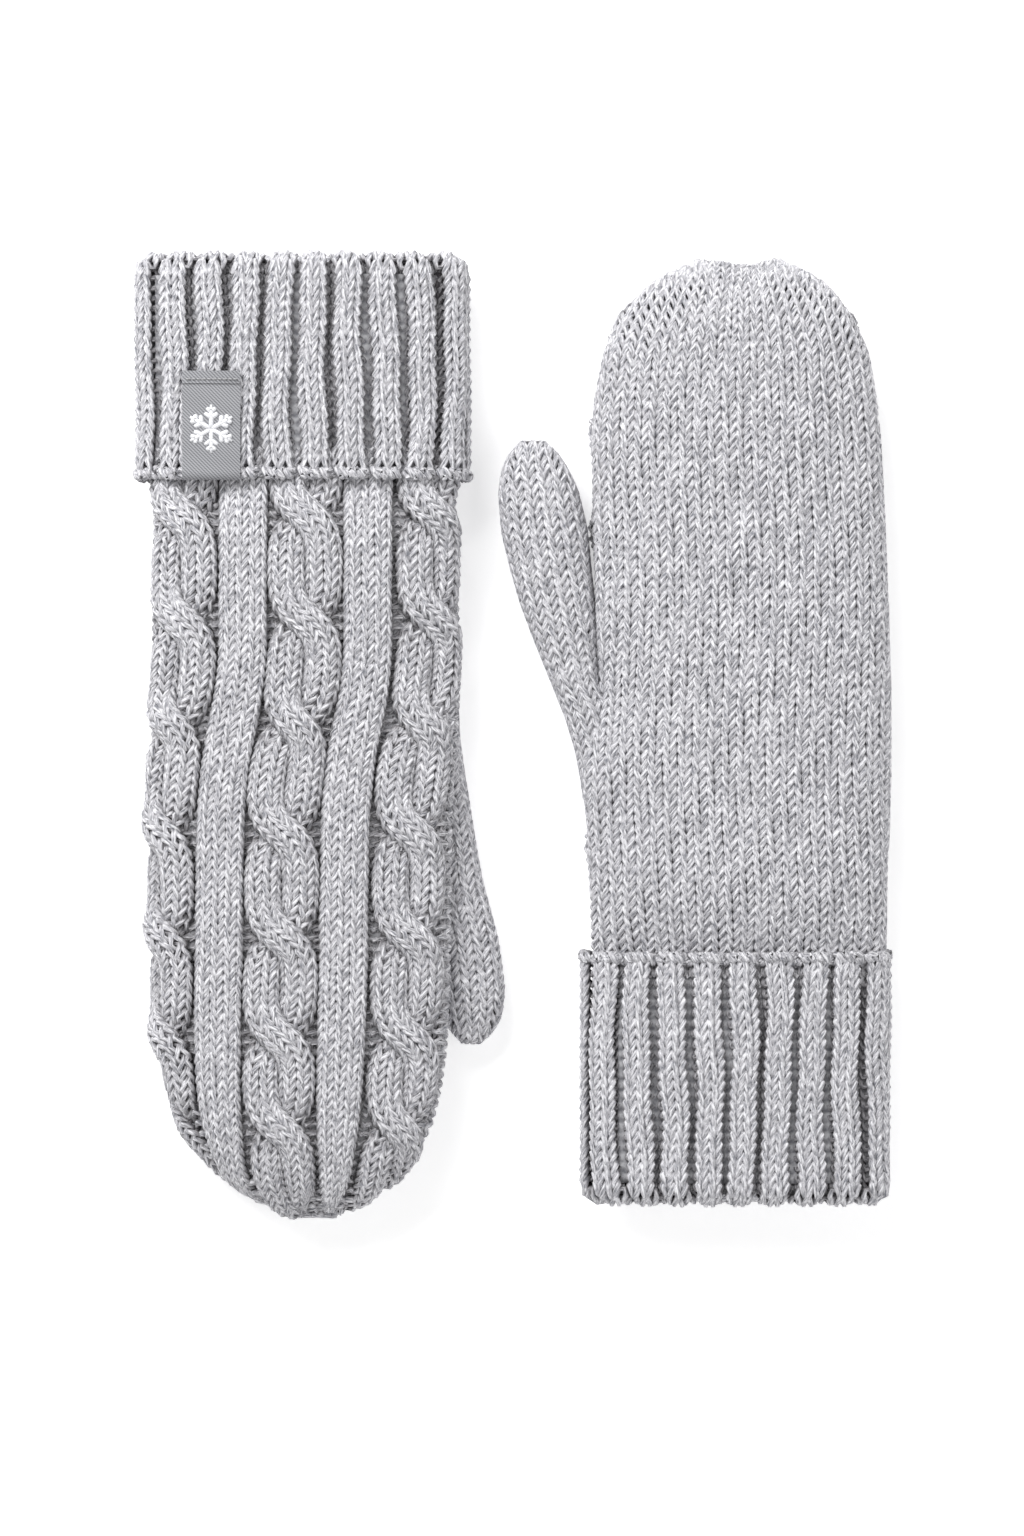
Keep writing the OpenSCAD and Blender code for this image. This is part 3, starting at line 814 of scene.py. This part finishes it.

# %% [markdown]
# ## The thumbs
# A thumb is knitted in the round, so it has no side seams: each course holds an even number of
# wales that just fits round it and ends where it began. The gusset is the part that widens out
# of the hand.

# %% Thumbs
SEAM_AT = {"right": 127.5, "left": 118.8}
for side in ("right", "left"):
    skin = thumb_skin(side, MIDDLE)
    tip = LENGTH[side] - THUMB[side][-1][0]
    seam_v = LENGTH[side] - SEAM_AT[side]
    for suffix, a, b in (("gusset", skin.v[0], seam_v), ("knit", seam_v, tip - 1)):
        yarn = Yarn()
        plain_panel(yarn, skin, a, b, tip, 6, 10, seed=9.0, closed=True)
        piece = yarn.finish(f"{side}_thumb_{suffix}_yarn", side, KNIT)
        bend_thumb(piece, side)
        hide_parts(f"{side}_thumb_gusset" if suffix == "gusset" else f"{side}_thumb")


# %% [markdown]
# ## Seams and gathers
# The panels are sewn together along both sides with the same yarn, painted a little darker as
# shade: it crosses to and fro over the join. At each tip the last round is drawn up on a loop of yarn.

# %% Seams and gathers
def side_seam(side, skin, low_side, v_first, v_last):
    """Yarn that crosses to and fro along one side of the hand."""
    v = np.arange(v_first, v_last, 0.45)
    low, high = skin.reach(v)
    sway = 0.9 * np.sin(2 * math.pi * v / 5.6)
    s = low + 0.5 + sway if low_side else high - 0.5 + sway
    yarn = Yarn()
    centre, normal = skin.at(s, v, 0.2 + 0.5 * np.cos(4 * math.pi * v / 5.6))
    yarn.tube(centre, normal, 0.85, 6)
    return yarn


def round_loop(yarn, centre, radius, thick, waves=9):
    """A loop of yarn round the drawn-up end of a tube, with its gathered folds."""
    turn = np.linspace(0, 2 * math.pi, 73)
    swell = radius * (1 + 0.16 * np.sin(turn * waves))
    points = np.stack([centre[0] + swell * np.cos(turn), centre[1] + 0.5 * np.cos(turn * waves),
                       centre[2] + 0.75 * swell * np.sin(turn)], -1)
    yarn.tube(points, np.tile([0.0, 1.0, 0.0], (len(turn), 1)), thick, 6)


def close_tip(yarn, side, d=1.5, pitch=1.9):
    """Yarn sewn to and fro over the slit that is left between the two panels at the tip."""
    angle = np.linspace(0.02, math.pi - 0.02, 121)
    upper, lower = (hand_section(side, np.full_like(a, d), a, MIDDLE)[::-1] for a in (angle, -angle))
    x = np.arange(upper[0, 0], upper[-1, 0], pitch / 10)
    y, high = (np.interp(x, upper[:, 0], upper[:, i]) for i in (1, 2))
    low = np.interp(x, lower[:, 0], lower[:, 2])
    z = (high + low) / 2 + (high - low) / 2 * np.sin(2 * math.pi * x / pitch)
    yarn.tube(np.stack([x, y + 0.3, z], -1), np.tile([0.0, 1.0, 0.0], (len(x), 1)), 0.9, 6)


for side in ("right", "left"):
    skin = hand_skin(side, True, MIDDLE)
    for seam, low_side in (("little", True), ("index", False)):
        yarn = side_seam(side, skin, low_side, FOLD[side] - 6, LENGTH[side] - 6)
        piece = yarn.finish(f"{side}_{seam}_seam_yarn", side, SHADED_SEWING)
        bend_fingers(piece, side)
        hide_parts(f"{side}_{seam}_seam_hand", f"{side}_{seam}_seam_fingers")
    yarn = Yarn()
    for size in (4.6, 2.2):
        round_loop(yarn, (TIP_X[side], LENGTH[side] - 3.2 + (4.6 - size) * 0.6, 13.0), size, 0.95)
    close_tip(yarn, side)
    piece = yarn.finish(f"{side}_tip_gather_yarn", side, SHADED_SEWING)
    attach(piece, f"{side}_fingers")
    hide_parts(f"{side}_tip_gather")
    last = THUMB[side][-1]
    yarn = Yarn()
    middle = ((last[1] + last[2]) / 2, LENGTH[side] - last[0] - 0.9, (last[3] + last[4]) / 2)
    round_loop(yarn, middle, 2.2, 0.9, 7)
    piece = yarn.finish(f"{side}_thumb_gather_yarn", side, SHADED_SEWING)
    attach(piece, f"{side}_thumb")
    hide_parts(f"{side}_thumb_gather")
    skin = thumb_skin(side, MIDDLE)
    yarn = Yarn()
    seam_v = LENGTH[side] - SEAM_AT[side]
    length = float(np.interp(seam_v, skin.v, skin.length))
    s = np.linspace(-length / 2, length / 2, 150)
    centre, normal = skin.at(s, seam_v + 0.5 * np.sin(s * 1.5), 0.1 + 0.35 * np.cos(s * 3))
    yarn.tube(centre, normal, 0.8, 6)
    piece = yarn.finish(f"{side}_thumb_seam_yarn", side, SHADED_SEWING)
    bend_thumb(piece, side)
    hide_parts(f"{side}_thumb_seam")

# %% [markdown]
# ## Linings
# A soft knitted lining sits inside. It is a closed wall: an outer and an inner skin joined at
# the wrist, and both closed at the tip, so it has a true inside.


# %% Linings
def wall(name, side, rings_out, rings_in, material):
    """A closed wall between two stacks of rings, open at its first ring, closed at its last."""
    rows, n = len(rings_out), len(rings_out[0])
    points = place(side, np.concatenate([np.concatenate(rings_out), np.concatenate(rings_in)])) * MM
    faces, inner = [], rows * n
    for i in range(rows - 1):
        for j in range(n):
            k = (j + 1) % n
            faces.append((i * n + j, (i + 1) * n + j, (i + 1) * n + k, i * n + k))
            faces.append((inner + i * n + j, inner + i * n + k, inner + (i + 1) * n + k,
                          inner + (i + 1) * n + j))
    for j in range(n):
        k = (j + 1) % n
        faces.append((j, k, inner + k, inner + j))
    faces.append(tuple((rows - 1) * n + j for j in range(n)))
    faces.append(tuple(inner + (rows - 1) * n + j for j in reversed(range(n))))
    mesh = bpy.data.meshes.new(name)
    mesh.from_pydata([tuple(p) for p in points], [], faces)
    made = bpy.data.objects.new(name, mesh)
    bpy.context.scene.collection.objects.link(made)
    bpy.ops.object.select_all(action="DESELECT")
    made.select_set(True)
    bpy.context.view_layer.objects.active = made
    bpy.ops.object.mode_set(mode="EDIT")
    bpy.ops.mesh.select_all(action="SELECT")
    bpy.ops.mesh.normals_make_consistent(inside=False)
    bpy.ops.object.mode_set(mode="OBJECT")
    bpy.ops.object.shade_smooth()
    made.data.materials.append(material)
    print(f"{name}: {len(faces)} faces")
    return made


def lining_rings(section, side, places, inset):
    """Rings round a hand or a thumb at the given distances from the fingertips."""
    angle = np.linspace(0, 2 * math.pi, 73)[:-1]
    return [section(side, np.full_like(angle, d), angle, inset) for d in places]


OUTSIDE, THICK = 4.6, 1.3
for side in ("right", "left"):
    places = np.concatenate([np.arange(LENGTH[side] - FOLD[side] + 7, 12, -3.0), [10.0, 8.5]])
    piece = wall(f"{side}_lining", side, lining_rings(hand_section, side, places, OUTSIDE),
                 lining_rings(hand_section, side, places, OUTSIDE + THICK), LINING)
    bend_fingers(piece, side)
    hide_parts(f"{side}_lining_hand", f"{side}_lining_fingers")
    places = np.arange(THUMB[side][1][0], THUMB[side][-1][0] + 3, -2.0)
    piece = wall(f"{side}_thumb_lining_wall", side, lining_rings(thumb_section, side, places, 3.4),
                 lining_rings(thumb_section, side, places, 4.4), LINING)
    bend_thumb(piece, side)
    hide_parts(f"{side}_thumb_lining")


# %% [markdown]
# ## The turned-back cuffs
# The rib is two plump knit wales, then two purl wales that draw in to a dark valley. A ridged
# tube under a picture of rib would look flat at the edges, so the loops themselves are moved
# in and out. The cuff runs up its outer face, round the fold and a little way inside, and two
# twisted strands cast it off.

# %% Cuffs
RIB_PITCH, RIDGE, RIB_COURSE = 10.0, 7.1, 2.95


def rib_course(length, repeats, samples, v, deep=3.4):
    """One course of two-by-two rib: the course angle, place along it, loops and rib height."""
    scale = length / (repeats * RIB_PITCH)
    t = np.linspace(0, 2 * math.pi * repeats * 4, repeats * 4 * samples + 1)
    stitch = t / (2 * math.pi)
    group, within = np.floor(stitch / 4), np.mod(stitch, 4)
    base = np.interp(within, [0, 2, 4], [0, RIDGE, RIB_PITCH])
    width = np.where(within < 2, RIDGE / 2, (RIB_PITCH - RIDGE) / 2)
    s = (group * RIB_PITCH + base + SWING * width * np.sin(2 * t)) * scale - length / 2
    s = s + 0.7 * np.sin(v * 0.07 + stitch / 4 * 0.9) + 0.3 * np.sin(v * 0.21 + stitch / 4 * 2.3)
    valley = ramp(-np.abs(within - 3), -1.15, -0.6)
    ridge = np.where(within < 2, np.sin(math.pi * within / 2), 0)
    return t, s, -DEPTH * np.cos(2 * t) * (1 - 2 * valley), 1.1 * ridge - deep * valley


def rib_cuff(side):
    """Two plump knit wales, then two purl wales drawn into a dark valley."""
    skin = cuff_skin(side, 2.6)
    face, inner = Yarn(), Yarn()
    repeats = round(float(skin.length.max()) / RIB_PITCH)
    end = FOLD[side] - FOLD_ROUND
    for row, v in enumerate(np.arange(skin.v[0] + 1, end - 1.5, RIB_COURSE)):
        deep = 3.4 - 1.9 * float(ramp(v, end - 9, end))
        t, s, loops, rib = rib_course(float(np.interp(v, skin.v, skin.length)), repeats, 9, v, deep)
        height = loops + rib
        up = -RISE * RIB_COURSE * np.cos(t) + uneven(t, row, 0.3, 3.0)
        centre, normal = skin.at(s, v + up, height)
        target = face if v > 0 else inner
        size = YARN_R * (1 + uneven(t * 2, row, 0.06, 1.0))
        # Painted shade: the height the finish darkens by follows the loops and a quarter of the rib, so
        # the valleys are painted darker.
        target.tube(centre, normal, size, 6, loops * 0.9 + rib * 0.25)
    length = float(np.interp(end, skin.v, skin.length))
    t, s, loops, rib = rib_course(length, repeats, 14, end, 1.7)
    for phase in (0, math.pi):
        swing = 2 * math.pi * s / 4.2 + phase
        over = 0.5 + 0.7 * np.cos(swing) + rib
        centre, normal = skin.at(s, end - 0.9 + 1.2 * np.sin(swing) + 0.3 * rib, over)
        # Painted shade for the cast-off strands: their shading height follows their twist and less of
        # the rib.
        inner.tube(centre, normal, 0.95, 6, over - rib * 0.7)
    return face, inner


for side in ("right", "left"):
    for suffix, yarn in zip(("cuff_face", "cuff_edges"), rib_cuff(side)):
        piece = yarn.finish(f"{side}_{suffix}", side, RIBBING)
        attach(piece, f"{side}_cuff")
        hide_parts(f"{side}_turned_cuff")


# %% [markdown]
# ## The label
# A woven strip folded over the cast-off edge of the right cuff, sewn across its top. The twill
# runs in fine slanted lines. Its mark is a plain snow star.

# %% Label
def twill(name, dark, light, scale):
    """Fine slanted weave."""
    finish = Finish(name, 0.7, 0.1)
    place_now = finish.add("ShaderNodeTexCoord").outputs["Object"]
    parts = finish.add("ShaderNodeSeparateXYZ", Vector=place_now)
    x, y = (Maths(finish.tree, parts.outputs[i]) for i in (0, 1))
    line = (x * scale + y * scale).sine() * 0.5 + 0.5
    cross = (x * scale * 0.37 - y * scale * 1.9).sine() * 0.5 + 0.5
    noise = finish.add("ShaderNodeTexNoise", Vector=place_now, Scale=2500.0, Detail=2.0)
    weave = line * 0.6 + cross * 0.2 + Maths(finish.tree, noise.outputs["Fac"]) * 0.2
    colour = finish.colours(weave, [(0.2, dark), (0.8, light)])
    return finish.paint(colour, weave, 0.35, 0.0002)


LABEL = twill("woven label", (0.17, 0.172, 0.185), (0.43, 0.434, 0.455), 6000.0)
MARK = twill("woven white mark", (0.80, 0.81, 0.84), (0.96, 0.96, 0.98), 7000.0)
THREAD = twill("label thread", (0.30, 0.30, 0.31), (0.50, 0.50, 0.51), 6000.0)
LABEL_X, LABEL_W, LABEL_L, LABEL_TOP = 25.8, 16.6, 30.4, 27.9


def label_profile():
    """Side view of the strip: along the top, over the edge and back underneath."""
    edge_y = FOLD["right"] + 1.1
    top = [(edge_y - LABEL_L - 0.6 + i * (LABEL_L - 1.4) / 24, 0.0) for i in range(25)]
    bend = [(edge_y - 2 + 2 * math.sin(a), -1.6 + 1.6 * math.cos(a))
            for a in np.linspace(0.15, math.pi - 0.15, 10)]
    back = [(edge_y - 2 - i * 1.0, -3.2) for i in range(1, 4)]
    return top + bend + back


# %% [markdown]
# ## The label's cloth
# The strip is laid out flat in rows, bent by its side view and thickened with a Solidify
# modifier, which keeps the cloth the same thickness round its fold.

# %% The label's cloth
def strip_mesh(name, profile, width, centre_x, thick, columns, material):
    """A strip of cloth with a little sag between its sewn sides, then given its thickness."""
    points, faces = [], []
    for i, (y, z) in enumerate(profile):
        for j in range(columns + 1):
            u = j / columns * 2 - 1
            ripple = 0.18 * math.sin(y * 0.5 + u * 1.7) - 0.45 * u * u
            points.append((centre_x + u * width / 2, y, LABEL_TOP + z + ripple))
    n = columns + 1
    for i in range(len(profile) - 1):
        faces += [(i * n + j, (i + 1) * n + j, (i + 1) * n + j + 1, i * n + j + 1)
                  for j in range(columns)]
    mesh = bpy.data.meshes.new(name)
    placed = place("right", np.array(points)) * MM
    mesh.from_pydata([tuple(p) for p in placed], [], [f[::-1] for f in faces])
    made = bpy.data.objects.new(name, mesh)
    bpy.context.scene.collection.objects.link(made)
    bpy.ops.object.select_all(action="DESELECT")
    made.select_set(True)
    bpy.context.view_layer.objects.active = made
    solid = made.modifiers.new("thickness", "SOLIDIFY")
    solid.thickness, solid.offset = thick * MM, 0
    bpy.ops.object.modifier_apply(modifier="thickness")
    bpy.ops.object.shade_smooth_by_angle(angle=0.6)
    made.data.materials.append(material)
    return made


profile = label_profile()
label = strip_mesh("right_label_cloth", profile, LABEL_W, LABEL_X, 0.6, 12, LABEL)
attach(label, "right_cuff")
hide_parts("right_label")
hem = strip_mesh("right_label_hem", [(y, z + 0.5) for y, z in profile[:4]], LABEL_W, LABEL_X, 0.5, 12,
                 LABEL)
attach(hem, "right_cuff")


# %% [markdown]
# ## The snow star and the stitches
# On the label the mark is woven in, a hair above the cloth. It is made of short round bars from
# the same tube maker as the yarn, and the stitches across the top are made the same way.

# %% Snow star and stitches
def snow_star(centre, arm, thick):
    """Six arms, each with a pair of short side twigs, as flat woven bars."""
    bars = []
    for k in range(6):
        a = math.pi / 2 + k * math.pi / 3
        tip = (arm * math.cos(a), arm * math.sin(a))
        bars.append(((0, 0), tip))
        for share, twig in ((0.45, 0.34), (0.72, 0.24)):
            root = (tip[0] * share, tip[1] * share)
            for turn in (-math.pi / 3.4, math.pi / 3.4):
                end = (root[0] + arm * twig * math.cos(a + turn),
                       root[1] + arm * twig * math.sin(a + turn))
                bars.append((root, end))
    yarn = Yarn()
    for (x0, y0), (x1, y1) in bars:
        share = np.linspace(0, 1, 6)
        z = np.full(6, centre[2])
        line = np.stack([centre[0] + x0 + (x1 - x0) * share, centre[1] + y0 + (y1 - y0) * share, z], -1)
        yarn.tube(line, np.tile([0.0, 0.0, 1.0], (6, 1)), thick, 6)
    return yarn


star_y = FOLD["right"] + 0.5 - LABEL_L * 0.45
star_bars = snow_star((LABEL_X, star_y, LABEL_TOP + 0.2), arm=7.0, thick=0.68)
star = star_bars.finish("right_label_snow_star", "right", MARK)
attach(star, "right_cuff")
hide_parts("right_label_star")
stitches = Yarn()
for x in np.arange(LABEL_X - LABEL_W / 2 + 0.7, LABEL_X + LABEL_W / 2 - 1.2, 1.5):
    share = np.linspace(0, 1, 7)
    line = np.stack([x + share * 1.25, np.full(7, FOLD["right"] - LABEL_L + 2.9),
                     LABEL_TOP + 0.55 + 0.3 * np.sin(share * math.pi)], -1)
    stitches.tube(line, np.tile([0.0, 0.0, 1.0], (7, 1)), 0.28, 6)
sewn = stitches.finish("right_label_stitches", "right", THREAD)
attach(sewn, "right_cuff")
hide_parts("right_label_stitch")

# %% [markdown]
# ## The inner cuffs
# The layer of rib that stays at the wrist is seen only down the mouth of the cuff, or when the
# turned part slides off it. Yarn would add many triangles to a layer that is hidden at rest,
# so it is a plain closed wall with a rippled face, and its finish carries the rows.

# %% Inner cuffs
def inner_cuff(side):
    """The layer that stays under the turned-back one: a ribbed wall."""
    y_first, y_last, n = 4.4, FOLD[side] - 3.0, 288
    angle = np.linspace(0, 2 * math.pi, n + 1)[:-1]
    rings = []
    for inset in (4.4, 7.2):
        half = CUFF_W[side] / 2 - inset
        stack = []
        for y in np.arange(y_first, y_last, 1.5):
            wave = 0.8 * np.cos(angle * 22) + 0.12 * np.cos(2 * math.pi * y / RIB_COURSE)
            x, z = oval(-half + wave, half - wave, inset + wave, CUFF_T - inset - wave,
                        CUFF_T / 2, CUFF_T / 2, angle, 2.6, 3.2)
            stack.append(np.stack([x, np.full_like(x, y), z], -1))
        rings.append(stack)
    return rings


for side in ("right", "left"):
    piece = wall(f"{side}_inner_cuff_rib", side, *inner_cuff(side), INNER_RIB)
    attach(piece, f"{side}_hand")
    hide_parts(f"{side}_inner_cuff")

# %% [markdown]
# ## Camera, light and floor
# The pair is looked at from straight above. A long lens far away keeps the two mittens equally
# large. One large soft light from the upper left shapes the stitches, a weaker one opens the
# shadows, and a pale floor that glows a little stays white behind the yarn.

# %% Stage
bpy.ops.mesh.primitive_plane_add(size=6, location=(0, 0, -0.0006))
floor = bpy.context.object
floor.name = "floor"
paper = Finish("white paper", 0.9)
paper.shader.inputs["Base Color"].default_value = (0.93, 0.93, 0.93, 1)
paper.shader.inputs["Emission Color"].default_value = (1, 1, 1, 1)
paper.shader.inputs["Emission Strength"].default_value = 0.38
floor.data.materials.append(paper.material)

scene = bpy.context.scene
world = bpy.data.worlds.new("studio")
scene.world = world
world.use_nodes = True
world.node_tree.nodes["Background"].inputs[0].default_value = (1, 1, 1, 1)
world.node_tree.nodes["Background"].inputs[1].default_value = 0.46


def soft_light(name, position, size, power):
    """A square light that faces the middle of the table."""
    data = bpy.data.lights.new(name, "AREA")
    data.size, data.energy = size, power
    lamp = bpy.data.objects.new(name, data)
    scene.collection.objects.link(lamp)
    lamp.location = position
    aim = -lamp.location
    lamp.rotation_euler = aim.to_track_quat("-Z", "Y").to_euler()


soft_light("key", (-0.6, 0.95, 0.95), 0.9, 20)
soft_light("fill", (0.9, -0.5, 1.2), 1.2, 7)

VIEW_LENGTH, DISTANCE, SENSOR = 0.445, 1.6, 36.0
camera_data = bpy.data.cameras.new("camera")
camera_data.sensor_width = SENSOR
camera_data.lens = SENSOR * DISTANCE / VIEW_LENGTH
camera = bpy.data.objects.new("camera", camera_data)
camera.location = (-0.0004, -0.0083, DISTANCE + 0.014)
scene.collection.objects.link(camera)
scene.camera = camera
scene.view_settings.view_transform = "Standard"
